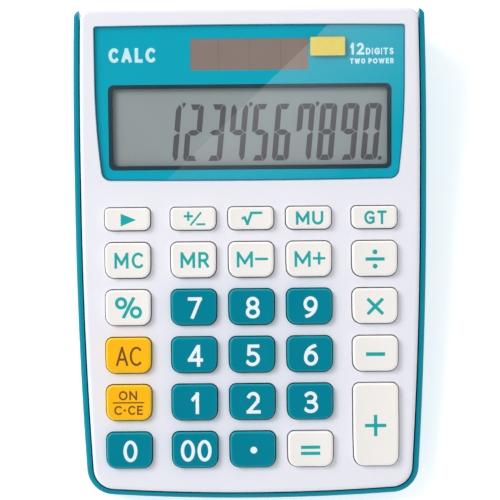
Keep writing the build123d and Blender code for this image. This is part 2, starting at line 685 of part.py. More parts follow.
# ---- Internal wires: straight runs joined by arcs, held at both ends ----
WIRE_RADIUS = 0.5


def wire(name, points, bend_radius):
    with BuildPart() as lead:
        with BuildLine() as route:
            FilletPolyline(*points, radius=bend_radius)
        start = Plane(origin=route.line @ 0, z_dir=route.line % 0)
        with BuildSketch(start):
            Circle(WIRE_RADIUS)
        sweep()
    finish(lead.part, name)


def at(plane, x, along, height):
    return tuple(plane.from_local_coords((x, along, height)))


wire_depth = BOARD_BOTTOM - WIRE_RADIUS
for side, name in ((-1, "solar_wire_black"), (1, "solar_wire_red")):
    wire(
        name,
        (
            at(display_plane, side * 12.0, SOLAR_AT, -DECK_BOTTOM),
            at(display_plane, side * 12.0, SOLAR_AT, -DECK_BOTTOM - 6.0),
            at(keypad_plane, side * 12.0, BOARD_REAR + 4.0, wire_depth - 1.6),
            at(keypad_plane, side * 12.0, BOARD_REAR - 5.0, wire_depth),
        ),
        2.5,
    )
tab_z = block_top + 1.6
for tab_x, end_x, name in (
    (DOOR_X - WELL_RADIUS - 0.3, 4.0, "battery_wire_red"),
    (DOOR_X + 3.4, 28.0, "battery_wire_black"),
):
    wire(
        name,
        (
            (tab_x, CELL_AT + front_y, tab_z),
            (tab_x, CELL_AT + front_y, tab_z + 3.0),
            (end_x, CELL_AT + front_y - 24.0, tab_z + 1.0),
            at(keypad_plane, end_x, BOARD_REAR - 5.0, wire_depth - 0.2),
        ),
        2.0,
    )

for piece_name, piece in pieces.items():
    if not piece.is_valid:
        print("not valid:", piece_name)
print(len(pieces), "pieces")
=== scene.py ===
import json
from math import atan2, cos, pi, radians, sin, tan

import bmesh
import bpy
from mathutils import Matrix, Vector
from mathutils.bvhtree import BVHTree
from mathutils.geometry import convex_hull_2d

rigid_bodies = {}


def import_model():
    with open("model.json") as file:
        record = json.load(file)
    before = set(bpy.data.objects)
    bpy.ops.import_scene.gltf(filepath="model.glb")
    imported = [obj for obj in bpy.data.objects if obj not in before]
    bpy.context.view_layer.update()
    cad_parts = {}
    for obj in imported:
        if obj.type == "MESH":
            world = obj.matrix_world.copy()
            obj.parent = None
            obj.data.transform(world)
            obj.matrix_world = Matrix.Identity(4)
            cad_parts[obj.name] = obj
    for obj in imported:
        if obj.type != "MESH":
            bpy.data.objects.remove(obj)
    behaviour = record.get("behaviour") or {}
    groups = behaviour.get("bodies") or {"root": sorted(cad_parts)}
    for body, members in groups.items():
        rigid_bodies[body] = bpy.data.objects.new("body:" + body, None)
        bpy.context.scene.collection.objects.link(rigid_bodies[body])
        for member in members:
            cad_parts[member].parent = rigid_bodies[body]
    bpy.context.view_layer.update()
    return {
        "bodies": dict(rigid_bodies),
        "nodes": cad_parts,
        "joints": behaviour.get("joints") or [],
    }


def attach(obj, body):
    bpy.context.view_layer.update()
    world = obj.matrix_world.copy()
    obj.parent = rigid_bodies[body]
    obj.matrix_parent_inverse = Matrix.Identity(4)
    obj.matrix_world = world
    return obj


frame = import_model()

# ---- Where things are ----
# The case is a wedge. The keys press square into the keypad surface, so their joint gives its
# slope, and the flat window film gives the slope of the display end.
MM = 0.001
X = Vector((1, 0, 0))
joint_axes = {joint["child"]: Vector(joint["axis"]) for joint in frame["joints"]}
keypad_up = -joint_axes["key_5_body"].normalized()
keypad_rear = keypad_up.cross(X)


def corners(piece_name):
    """The corners of a CAD node's mesh, in the shared frame."""
    return [vertex.co for vertex in frame["nodes"][piece_name].data.vertices]


def span(piece_name, way):
    """How far the node reaches along a direction, lowest and highest."""
    reach = [corner.dot(way) for corner in corners(piece_name)]
    return min(reach), max(reach)


def flattest_up(piece_name):
    """The normal of the node's largest upward area, which is its flat face."""
    areas = {}
    for face in frame["nodes"][piece_name].data.polygons:
        facing = tuple(round(value, 3) for value in face.normal)
        areas[facing] = areas.get(facing, 0) + face.area * (face.normal.z > 0.5)
    return Vector(max(areas, key=areas.get)).normalized()


display_up = flattest_up("window_film")
display_rear = display_up.cross(X)


class Sheet:
    """A flat drawing sheet: x to the right, y to the rear, up off the surface, in metres."""

    def __init__(self, origin, rear, up):
        self.origin, self.rear, self.up = origin, rear, up

    def at(self, x, y, height=0.0):
        return self.origin + X * x + self.rear * y + self.up * height


def sheet_on(piece_name, rear, up):
    """A sheet whose origin is the middle of the node's top."""
    x_low, x_high = span(piece_name, X)
    y_low, y_high = span(piece_name, rear)
    top = span(piece_name, up)[1]
    middle = X * ((x_low + x_high) / 2) + rear * ((y_low + y_high) / 2) + up * top
    return Sheet(middle, rear, up)


# ---- Rear housing ----
# The tub that everything is screwed into. Injection moulded ABS in teal, polished in the mould,
# so the rim round the cover has a soft gloss with a barely visible flow texture.
FACTOR, COLOUR_A, COLOUR_B, MIXED = 0, 6, 7, 2  # sockets of a mix node that mixes colours


def hex_colour(text):
    """sRGB hex to linear RGBA."""
    parts = [int(text[place : place + 2], 16) / 255 for place in (1, 3, 5)]
    linear = [part / 12.92 if part <= 0.04045 else ((part + 0.055) / 1.055) ** 2.4 for part in parts]
    return (*linear, 1.0)


def node(tree, kind, inputs=(), **settings):
    """Adds one node with its settings. Each input takes a value, or a link if it is given a socket."""
    made = tree.nodes.new(kind)
    for name, value in settings.items():
        setattr(made, name, value)
    for name, value in dict(inputs).items():
        if isinstance(value, bpy.types.NodeSocket):
            tree.links.new(value, made.inputs[name])
        else:
            made.inputs[name].default_value = value
    return made


def start_material(name):
    """An empty node material: the material, its tree, its Principled shader and Object coordinates."""
    material = bpy.data.materials.new(name)
    material.use_nodes = True
    tree = material.node_tree
    tree.nodes.clear()
    shader = node(tree, "ShaderNodeBsdfPrincipled")
    node(tree, "ShaderNodeOutputMaterial", {"Surface": shader.outputs["BSDF"]})
    place = node(tree, "ShaderNodeTexCoord").outputs["Object"]
    return material, tree, shader, place


def moulded(name, dark, light, rough, grain_mm, grain_depth_mm, clouds_mm=14.0, specular=0.15, edge=None):
    """Moulded plastic or rubber: cloudy pigment, a fine grain in the surface and uneven gloss.

    edge is the colour of a painted highlight on the curved edges of a key, laid where the surface turns away
    from the keypad's up.
    """
    material, tree, shader, place = start_material(name)
    clouds = node(
        tree, "ShaderNodeTexNoise", {"Vector": place, "Scale": 1 / (clouds_mm * MM), "Detail": 2.0}
    )
    pigment = node(
        tree, "ShaderNodeMix",
        {FACTOR: clouds.outputs["Fac"], COLOUR_A: hex_colour(dark), COLOUR_B: hex_colour(light)},
        data_type="RGBA",
    )
    colour = pigment.outputs[MIXED]
    # Painted highlight: faces that turn away from the keypad's up, the curved edges of a key, are given the
    # lighter edge colour.
    if edge:
        facing = node(tree, "ShaderNodeNewGeometry").outputs["Normal"]
        turned = node(tree, "ShaderNodeVectorMath", {0: facing, 1: keypad_up}, operation="DOT_PRODUCT")
        painted_highlight_band = node(
            tree, "ShaderNodeMapRange",
            {
                "Value": turned.outputs["Value"], "From Min": 0.72, "From Max": 0.985,
                "To Min": 1.0, "To Max": 0.0,
            },
        )
        painted_edge_highlight = node(
            tree, "ShaderNodeMix",
            {FACTOR: painted_highlight_band.outputs["Result"], COLOUR_A: colour, COLOUR_B: hex_colour(edge)},
            data_type="RGBA",
        )
        colour = painted_edge_highlight.outputs[MIXED]
    tree.links.new(colour, shader.inputs["Base Color"])
    grain = node(tree, "ShaderNodeTexNoise", {"Vector": place, "Scale": 1 / (grain_mm * MM), "Detail": 3.0})
    bump = node(
        tree, "ShaderNodeBump",
        {"Height": grain.outputs["Fac"], "Strength": 0.35, "Distance": grain_depth_mm * MM},
    )
    tree.links.new(bump.outputs["Normal"], shader.inputs["Normal"])
    gloss = node(
        tree, "ShaderNodeMapRange",
        {"Value": clouds.outputs["Fac"], "To Min": rough - 0.03, "To Max": rough + 0.04},
    )
    tree.links.new(gloss.outputs["Result"], shader.inputs["Roughness"])
    shader.inputs["Specular IOR Level"].default_value = specular
    shader.inputs["IOR"].default_value = 1.53
    return material


def wear(piece_name, material):
    """Puts a material in the slots of a CAD node that stays as it is."""
    slots = frame["nodes"][piece_name].data.materials
    slots.clear()
    slots.append(material)


# Polished ABS: an even teal with a soft gloss.
wear("rear_housing", moulded("teal_moulded_abs", "#00889c", "#028ea3", 0.26, 0.35, 0.012))

# ---- Feet ----
# Four moulded rubber pads, glued in round seats in the underside.
# Moulded rubber: matt, slightly dusty black.
wear("rubber_feet", moulded("matt_foot_rubber", "#1b1b1c", "#262627", 0.75, 0.5, 0.05))

# ---- Battery door ----
# A flat moulded ABS lid that slides in grooves in the underside, with grooves for the finger. It
# comes from another tool than the housing, so its teal is darker and its gloss a little lower.
wear("battery_door", moulded("teal_moulded_abs_door", "#00869a", "#018ca1", 0.3, 0.35, 0.015))

# ---- Screws ----
# Small steel screws, cold headed and rolled, all driven from below: the case screws up into the
# cover's posts, the board screws through the board and the mat.


def metal(name, dark, light, rough, grain_mm, metallic=1.0):
    """Plated or drawn metal: fine streaks in the gloss and small shifts of colour."""
    material, tree, shader, place = start_material(name)
    streaks = node(
        tree, "ShaderNodeTexNoise", {"Vector": place, "Scale": 1 / (grain_mm * MM), "Detail": 4.0}
    )
    tint = node(
        tree, "ShaderNodeMix",
        {FACTOR: streaks.outputs["Fac"], COLOUR_A: hex_colour(dark), COLOUR_B: hex_colour(light)},
        data_type="RGBA",
    )
    tree.links.new(tint.outputs[MIXED], shader.inputs["Base Color"])
    gloss = node(
        tree, "ShaderNodeMapRange",
        {"Value": streaks.outputs["Fac"], "To Min": rough - 0.08, "To Max": rough + 0.08},
    )
    tree.links.new(gloss.outputs["Result"], shader.inputs["Roughness"])
    shader.inputs["Metallic"].default_value = metallic
    return material


# Zinc plate: bright, slightly streaky, with a faint yellow cast.
zinc = metal("zinc_plated_steel", "#9a9da3", "#b9b7ab", 0.32, 0.4)
wear("case_screws", zinc)
wear("board_screws", zinc)

# ---- Button cell and its contacts ----
# A drawn steel can between two springs bent from strip, all nickel plated. The springs stand in
# slots of the battery well.
# Nickel plate: a warm, clear grey, smoother than zinc.
nickel = metal("nickel_plated_steel", "#b7b2a8", "#cbc6ba", 0.24, 0.6)
wear("button_cell", metal("nickel_cell_can", "#a9a9a7", "#c3c2be", 0.3, 0.8))
wear("battery_positive_contact", nickel)
wear("battery_negative_contact", nickel)

# ---- Wires ----
# Stranded copper in extruded PVC insulation, soldered to the board at one end and to the solar
# cell or the battery contacts at the other. The skin is smooth and soft.
red_pvc = moulded("red_pvc_insulation", "#a31210", "#b81c17", 0.42, 0.25, 0.01, 4.0)
black_pvc = moulded("black_pvc_insulation", "#131313", "#1d1d1e", 0.42, 0.25, 0.01, 4.0)
for wire in ("solar_wire", "battery_wire"):
    wear(wire + "_red", red_pvc)
    wear(wire + "_black", black_pvc)

# ---- Main board ----
# Phenolic laminate under green solder mask, screwed to the cover. A black epoxy blob over the chip
# and a small sleeved capacitor hang under it, and a printed ribbon leads from it to the display.
wear("main_board", moulded("green_solder_mask", "#14491f", "#1f6a2c", 0.38, 0.8, 0.03, 5.0))
wear("chip_cover", moulded("cast_black_epoxy", "#0c0c0d", "#161617", 0.22, 1.4, 0.05, 3.0))
wear("filter_capacitor", metal("sleeved_aluminium_can", "#1f2c52", "#2a3963", 0.35, 0.7, 0.2))
wear("heat_seal_ribbon", moulded("printed_polyester_ribbon", "#b39a52", "#c2aa63", 0.4, 0.6, 0.01, 3.0))

# ---- Key contacts ----
# Carbon ink printed on the board. Under each key two combs interlock, and the pill bridges their
# teeth when the key is pressed. One comb pair is built once and repeated at every key.
CONTACT_SIZES = {
    "Tooth length": 2.2 * MM,
    "Tooth width": 0.28 * MM,
    "Tooth pitch": 0.5 * MM,
    "Print height": 0.02 * MM,
    "Slope": atan2(keypad_rear.z, keypad_rear.y),
    "Teeth": 6,
}
board_top = span("main_board", keypad_up)[1]
key_bodies = [body for body in frame["bodies"] if body.startswith("key_")]
contact_places = []
for body in key_bodies:
    cap_middle = sheet_on(body.removesuffix("_body"), keypad_rear, keypad_up).origin
    contact_places.append(cap_middle + keypad_up * (board_top - cap_middle.dot(keypad_up)))

contacts = bpy.data.node_groups.new("printed_contacts", "GeometryNodeTree")
contacts.interface.new_socket("Geometry", in_out="INPUT", socket_type="NodeSocketGeometry")
contacts.interface.new_socket("Geometry", in_out="OUTPUT", socket_type="NodeSocketGeometry")
contact_sockets = {}
for name, size in CONTACT_SIZES.items():
    kind = "NodeSocketInt" if name == "Teeth" else "NodeSocketFloat"
    contact_sockets[name] = contacts.interface.new_socket(name, in_out="INPUT", socket_type=kind).identifier
given = node(contacts, "NodeGroupInput").outputs

# A row of points, alternate ones moved to the rear and the front, with a tooth on each.
gaps = node(contacts, "ShaderNodeMath", {0: given["Teeth"], 1: 1.0}, operation="SUBTRACT")
comb_wide = node(
    contacts, "ShaderNodeMath", {0: gaps.outputs[0], 1: given["Tooth pitch"]}, operation="MULTIPLY"
)
first_x = node(contacts, "ShaderNodeMath", {0: comb_wide.outputs[0], 1: -0.5}, operation="MULTIPLY")
row_start = node(contacts, "ShaderNodeCombineXYZ", {"X": first_x.outputs[0]})
row_step = node(contacts, "ShaderNodeCombineXYZ", {"X": given["Tooth pitch"]})
row = node(
    contacts, "GeometryNodeMeshLine",
    {"Count": given["Teeth"], "Start Location": row_start.outputs[0], "Offset": row_step.outputs[0]},
)
index = node(contacts, "GeometryNodeInputIndex")
side = node(contacts, "ShaderNodeMath", {0: index.outputs[0], 1: 2.0}, operation="MODULO")
balanced = node(contacts, "ShaderNodeMath", {0: side.outputs[0], 1: 0.5}, operation="SUBTRACT")
swing = node(
    contacts, "ShaderNodeMath", {0: balanced.outputs[0], 1: given["Tooth pitch"]}, operation="MULTIPLY"
)
stagger = node(contacts, "ShaderNodeCombineXYZ", {"Y": swing.outputs[0]})
staggered = node(
    contacts, "GeometryNodeSetPosition", {"Geometry": row.outputs[0], "Offset": stagger.outputs[0]}
)
tooth_size = node(
    contacts, "ShaderNodeCombineXYZ",
    {"X": given["Tooth width"], "Y": given["Tooth length"], "Z": given["Print height"]},
)
tooth = node(contacts, "GeometryNodeMeshCube", {"Size": tooth_size.outputs[0]})
teeth = node(
    contacts, "GeometryNodeInstanceOnPoints", {"Points": staggered.outputs[0], "Instance": tooth.outputs[0]}
)
comb = node(contacts, "GeometryNodeJoinGeometry", {"Geometry": teeth.outputs[0]})

# A spine along the ends of each comb's teeth.
spine_long = node(
    contacts, "ShaderNodeMath", {0: comb_wide.outputs[0], 1: given["Tooth width"]}, operation="ADD"
)
spine_size = node(
    contacts, "ShaderNodeCombineXYZ",
    {"X": spine_long.outputs[0], "Y": given["Tooth width"], "Z": given["Print height"]},
)
spine = node(contacts, "GeometryNodeMeshCube", {"Size": spine_size.outputs[0]})
reach = node(contacts, "ShaderNodeMath", {0: given["Tooth length"], 1: given["Tooth pitch"]}, operation="ADD")
for half in (0.5, -0.5):
    spine_y = node(contacts, "ShaderNodeMath", {0: reach.outputs[0], 1: half}, operation="MULTIPLY")
    shift = node(contacts, "ShaderNodeCombineXYZ", {"Y": spine_y.outputs[0]})
    moved = node(
        contacts, "GeometryNodeTransform", {"Geometry": spine.outputs[0], "Translation": shift.outputs[0]}
    )
    contacts.links.new(moved.outputs[0], comb.inputs[0])

# Carbon ink: dull black with a slight grain.
carbon_ink = moulded("printed_carbon_ink", "#151517", "#202023", 0.55, 0.2, 0.006, 1.5)
lean = node(contacts, "ShaderNodeCombineXYZ", {"X": given["Slope"]})
printed = node(
    contacts, "GeometryNodeInstanceOnPoints",
    {"Points": given["Geometry"], "Instance": comb.outputs[0], "Rotation": lean.outputs[0]},
)
plain = node(contacts, "GeometryNodeRealizeInstances", {"Geometry": printed.outputs[0]})
inked = node(contacts, "GeometryNodeSetMaterial", {"Geometry": plain.outputs[0], "Material": carbon_ink})
node(contacts, "NodeGroupOutput", {"Geometry": inked.outputs[0]})

contact_points = bpy.data.meshes.new("contact_places")
contact_points.from_pydata([tuple(point) for point in contact_places], [], [])
board_print = bpy.data.objects.new("key_contacts", contact_points)
bpy.context.scene.collection.objects.link(board_print)
printing = board_print.modifiers.new("printing", "NODES")
printing.node_group = contacts
for name, size in CONTACT_SIZES.items():
    printing[contact_sockets[name]] = size
finished = board_print.evaluated_get(bpy.context.evaluated_depsgraph_get())
combs = bpy.data.meshes.new_from_object(finished)
board_print.modifiers.remove(printing)
board_print.data = combs
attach(board_print, "housing")

# ---- Keypad mat ----
# One sheet of pale silicone, compression moulded with a dome under each key, and a punched pill of
# carbon-filled rubber bonded in each dome. The silicone is matt and slightly milky.
wear("keypad_mat", moulded("pale_grey_silicone", "#b7babd", "#c3c6c8", 0.6, 0.4, 0.02))
wear("carbon_pills", moulded("carbon_filled_rubber", "#101011", "#1a1a1b", 0.7, 0.3, 0.02))

# ---- Front cover ----
# The ABS shell with the 29 key openings, moulded in one shot and screwed to the housing from below.
# White ABS: a cool cast and a soft gloss.
wear("front_cover", moulded("white_moulded_abs", "#e9e8f0", "#edecf3", 0.36, 0.3, 0.012))

# ---- Keys ----
# Hollow caps moulded in ABS: teal figures, white functions, yellow clears, held under the cover by
# a flange. Each legend is pad printed, a film of ink that is a thin body on the cap.
TEAL_KEYS = ("0", "00", "1", "2", "3", "4", "5", "6", "7", "8", "9", "point")
YELLOW_KEYS = ("all_clear", "on_clear")

# Satin ABS: a fine spark-eroded grain, and a painted highlight, a lighter colour, on the curved edges of each
# cap.
white_cap = moulded("white_satin_abs", "#f1ece7", "#f5f0eb", 0.4, 0.22, 0.01, edge="#fffefa")
teal_cap = moulded("teal_satin_abs", "#007d92", "#00859a", 0.3, 0.22, 0.01, specular=0.1, edge="#00a2b0")
yellow_cap = moulded("yellow_satin_abs", "#fdb608", "#ffbd10", 0.4, 0.22, 0.01, edge="#ffd632")


def ink(name, dark, light):
    """Screen or pad printed ink: dense colour, slightly uneven where the screen let less through."""
    return moulded(name, dark, light, 0.45, 0.15, 0.006, 1.2)


white_ink = ink("white_legend_ink", "#e6f1f5", "#edf6f9")
turquoise_ink = ink("turquoise_legend_ink", "#0ea6a2", "#16b0ab")
brown_ink = ink("brown_legend_ink", "#6a4522", "#7a532c")

# A glyph is its width for a height of 1, and a list of strokes on a unit square, x right and y up,
# along the middle of the stroke. A stroke is a list of points, or an arc: centre x, centre y,
# radius x, radius y, first and last angle in degrees.
STEM = [(0, 0), (0, 1)]
GLYPHS = {
    "0": (0.64, [("arc", 0.5, 0.5, 0.5, 0.5, 0, 360)]),
    "1": (0.36, [[(0.75, 0), (0.75, 1)], [(0, 0.70), (0.75, 0.97)]]),
    "2": (0.62, [("arc", 0.47, 0.72, 0.45, 0.28, 155, -38), [(0.86, 0.55), (0.03, 0.02)], [(0, 0), (1, 0)]]),
    "3": (0.62, [
        ("arc", 0.42, 0.76, 0.46, 0.24, 150, -90), ("arc", 0.42, 0.26, 0.55, 0.26, 90, -150),
        [(0.26, 0.52), (0.44, 0.52)],
    ]),
    "4": (0.72, [[(0.70, 1), (0.03, 0.30)], [(0.0, 0.27), (1, 0.27)], [(0.76, 0), (0.76, 1)]]),
    "5": (0.60, [
        [(0.92, 1), (0.14, 1)], [(0.14, 1), (0.10, 0.58)], ("arc", 0.42, 0.31, 0.55, 0.31, 122, -148),
    ]),
    "6": (0.64, [("arc", 1.04, 0.36, 1.04, 0.64, 101, 180), ("arc", 0.5, 0.32, 0.5, 0.32, 0, 360)]),
    "7": (0.62, [[(0, 1), (1, 1)], [(0.97, 1), (0.26, 0)]]),
    "8": (0.64, [("arc", 0.5, 0.75, 0.44, 0.25, 0, 360), ("arc", 0.5, 0.25, 0.5, 0.25, 0, 360)]),
    "9": (0.64, [("arc", -0.04, 0.64, 1.04, 0.64, -79, 0), ("arc", 0.5, 0.68, 0.5, 0.32, 0, 360)]),
    "A": (0.78, [[(0, 0), (0.5, 1)], [(0.5, 1), (1, 0)], [(0.2, 0.32), (0.8, 0.32)]]),
    "C": (0.74, [("arc", 0.6, 0.5, 0.6, 0.5, 48, 312)]),
    "D": (0.72, [STEM, [(0, 1), (0.4, 1)], [(0, 0), (0.4, 0)], ("arc", 0.4, 0.5, 0.6, 0.5, 90, -90)]),
    "E": (0.60, [STEM, [(0, 1), (1, 1)], [(0, 0.52), (0.88, 0.52)], [(0, 0), (1, 0)]]),
    "G": (0.80, [("arc", 0.58, 0.5, 0.58, 0.5, 48, 318), [(1, 0.14), (1, 0.47)], [(1, 0.47), (0.62, 0.47)]]),
    "I": (0.16, [[(0.5, 0), (0.5, 1)]]),
    "L": (0.58, [STEM, [(0, 0), (1, 0)]]),
    "M": (0.90, [STEM, [(0, 1), (0.5, 0.24)], [(0.5, 0.24), (1, 1)], [(1, 1), (1, 0)]]),
    "N": (0.76, [STEM, [(0, 1), (1, 0)], [(1, 0), (1, 1)]]),
    "O": (0.86, [("arc", 0.5, 0.5, 0.5, 0.5, 0, 360)]),
    "P": (0.64, [STEM, [(0, 1), (0.5, 1)], [(0, 0.44), (0.5, 0.44)], ("arc", 0.5, 0.72, 0.5, 0.28, 90, -90)]),
    "R": (0.68, [
        STEM, [(0, 1), (0.5, 1)], [(0, 0.46), (0.5, 0.46)], ("arc", 0.5, 0.73, 0.42, 0.27, 90, -90),
        [(0.5, 0.46), (1, 0)],
    ]),
    "S": (0.62, [("arc", 0.5, 0.74, 0.48, 0.26, 38, 270), ("arc", 0.5, 0.24, 0.5, 0.24, 90, -142)]),
    "T": (0.70, [[(0, 1), (1, 1)], [(0.5, 1), (0.5, 0)]]),
    "U": (0.74, [[(0, 1), (0, 0.38)], [(1, 1), (1, 0.38)], ("arc", 0.5, 0.38, 0.5, 0.38, 180, 360)]),
    "W": (1.10, [[(0, 1), (0.25, 0)], [(0.25, 0), (0.5, 0.9)], [(0.5, 0.9), (0.75, 0)], [(0.75, 0), (1, 1)]]),
    "%": (1.26, [
        ("arc", 0.19, 0.75, 0.19, 0.25, 0, 360), ("arc", 0.81, 0.25, 0.19, 0.25, 0, 360),
        [(0.70, 1), (0.30, 0)],
    ]),
    "root": (1.50, [
        [(0, 0.52), (0.11, 0.60)], [(0.11, 0.60), (0.26, 0)], [(0.26, 0), (0.48, 1)], [(0.48, 1), (1, 1)],
    ]),
    "plus": (1.0, [[(0, 0.5), (1, 0.5)], [(0.5, 0), (0.5, 1)]]),
    "times": (1.0, [[(0, 0), (1, 1)], [(0, 1), (1, 0)]]),
    "slash": (0.62, [[(0, 0), (1, 1)]]),
}
STEP = 0.5  # mm between the points of a stroke, so that it can follow the dish of a cap
ARC_STEP = 12  # degrees


def stroke_points(stroke, low, size):
    """Points along a stroke, scaled from the unit square to the place of its middle line."""
    if stroke[0] == "arc":
        _, cx, cy, rx, ry, first, last = stroke
        steps = max(6, int(abs(last - first) / ARC_STEP))
        turns = [radians(first + (last - first) * step / steps) for step in range(steps + 1)]
        unit = [(cx + rx * cos(turn), cy + ry * sin(turn)) for turn in turns]
    else:
        unit = stroke
    points = [Vector((low[0] + u * size[0], low[1] + v * size[1])) for u, v in unit]
    dense = [points[0]]
    for start, end in zip(points, points[1:]):
        pieces = max(1, round((end - start).length / STEP))
        dense += [start.lerp(end, piece / pieces) for piece in range(1, pieces + 1)]
    return dense


def ribbon(points, width, closed, low, high):
    """Left and right edge of a stroke: square ends, kept inside the glyph's own box."""
    if not closed:
        first = (points[0] - points[1]).normalized() * width / 2
        last = (points[-1] - points[-2]).normalized() * width / 2
        points = [points[0] + first, *points, points[-1] + last]
    edges = []
    for order, point in enumerate(points):
        before = points[order - 1] if order or closed else point
        after = points[(order + 1) % len(points)] if order + 1 < len(points) or closed else point
        along = (after - before).normalized()
        side = Vector((-along.y, along.x)) * width / 2
        edges.append([
            Vector((min(max(q.x, low[0]), high[0]), min(max(q.y, low[1]), high[1])))
            for q in (point + side, point - side)
        ])
    return edges


def glyph_strips(name, x, y, width, height, weight):
    """The strips of one glyph whose outline box has that lower left corner and size."""
    low, high = (x, y), (x + width, y + height)
    inner = (x + weight / 2, y + weight / 2)
    size = (max(width - weight, 0), max(height - weight, 0))
    strips = []
    for stroke in GLYPHS[name][1]:
        closed = stroke[0] == "arc" and abs(stroke[6] - stroke[5]) == 360
        points = stroke_points(stroke, inner, size)
        if closed:
            points = points[:-1]
        strips.append((ribbon(points, weight, closed, low, high), closed))
    return strips


def word_strips(text, centre, width, height, weight, gap=0.2):
    """A row of glyphs, spread to the stated width about its centre."""
    natural = sum(GLYPHS[letter][0] for letter in text) * height
    gaps_wide = gap * height * (len(text) - 1)
    stretch = (width - gaps_wide) / natural
    x = centre[0] - width / 2
    strips = []
    for letter in text:
        wide = GLYPHS[letter][0] * height * stretch
        strips += glyph_strips(letter, x, centre[1] - height / 2, wide, height, weight)
        x += wide + gap * height
    return strips


def disc_strip(x, y, radius, rows=16):
    """A filled dot, as one strip of chords across it."""
    chords = []
    for row_number in range(rows):
        turn = pi * (row_number + 0.5) / rows
        level = y + radius * cos(turn)
        chords.append([Vector((x + radius * sin(turn), level)), Vector((x - radius * sin(turn), level))])
    return chords, False


def bar_strip(x, y, width, height):
    """A filled bar about its centre, cut across so that it can follow a curved cap."""
    pieces = max(1, round(width / STEP))
    cuts = [x - width / 2 + width * piece / pieces for piece in range(pieces + 1)]
    return [[Vector((cut, y + height / 2)), Vector((cut, y - height / 2))] for cut in cuts], False


def arrow_strip(x, y, width, height, pieces=10):
    """A solid triangle that points to the right, its tip cut off by a hundredth."""
    cuts = []
    for piece in range(pieces + 1):
        level = x - width / 2 + width * piece / pieces
        half = height / 2 * (1.01 - piece / pieces)
        cuts.append([Vector((level, y + half)), Vector((level, y - half))])
    return cuts, False


def in_metres(strips):
    """Strips that are drawn in millimetres, in metres."""
    return [([[point * MM for point in pair] for pair in edges], closed) for edges, closed in strips]


def new_piece(name, vertices, faces, material, body):
    """Makes closed bodies a piece of the object, with their faces turned outwards."""
    mesh = bpy.data.meshes.new(name)
    mesh.from_pydata([tuple(vertex) for vertex in vertices], [], faces)
    mesh.update()
    mesh.materials.append(material)
    work = bmesh.new()
    work.from_mesh(mesh)
    bmesh.ops.remove_doubles(work, verts=work.verts, dist=1e-7)
    bmesh.ops.recalc_face_normals(work, faces=work.faces)
    work.to_mesh(mesh)
    work.free()
    piece = bpy.data.objects.new(name, mesh)
    bpy.context.scene.collection.objects.link(piece)
    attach(piece, body)
    return piece


LEGEND_RISE, LEGEND_SINK = 0.02 * MM, 0.04 * MM  # above and below the surface of the cap
LAYER = 0.003 * MM  # strips that cross lie one on the other, as thick as a coat of ink
PROBE = 5 * MM  # where the search for the cap's surface starts, above the sheet


def film_body(name, strips, sheet, material, body, surface=None, rise=LEGEND_RISE, sink=LEGEND_SINK):
    """Closed thin bodies, one for each strip, laid on a sheet or dropped on the surface below it."""
    vertices, faces = [], []
    for order, (edges, closed) in enumerate(strips):
        start = len(vertices)
        top = rise + (order % 4) * LAYER
        for pair in edges:
            for point in pair:
                level = 0
                if surface:
                    hit = surface.ray_cast(sheet.at(point.x, point.y, PROBE), -sheet.up, 2 * PROBE)[0]
                    level = (hit - sheet.origin).dot(sheet.up) if hit else 0
                vertices.append(sheet.at(point.x, point.y, level + top))
                vertices.append(sheet.at(point.x, point.y, level - sink))
        count = len(edges)
        for place in range(count if closed else count - 1):
            left, left_low, right, right_low = (start + 4 * place + part for part in range(4))
            shift = 4 * (((place + 1) % count) - place)
            faces += [
                (left, right, right + shift, left + shift),
                (left_low, left_low + shift, right_low + shift, right_low),
                (left, left + shift, left_low + shift, left_low),
                (right, right_low, right_low + shift, right + shift),
            ]
        if not closed:
            end = start + 4 * (count - 1)
            faces += [(start, start + 1, start + 3, start + 2), (end, end + 2, end + 3, end + 1)]
    return new_piece(name, vertices, faces, material, body)


FIGURE_HIGH = 6.4
FIGURE_WEIGHT = 0.98
FIGURE_WIDE = 4.15
FIGURE_WIDTHS = {"1": 2.75, "4": 4.5}  # the figures that aren't as wide as the others
FIGURE_SHIFT = (0.35, -0.25)
LETTER_LOW = -2.35  # foot of the memory keys' letters
LETTER_HIGH = 4.7


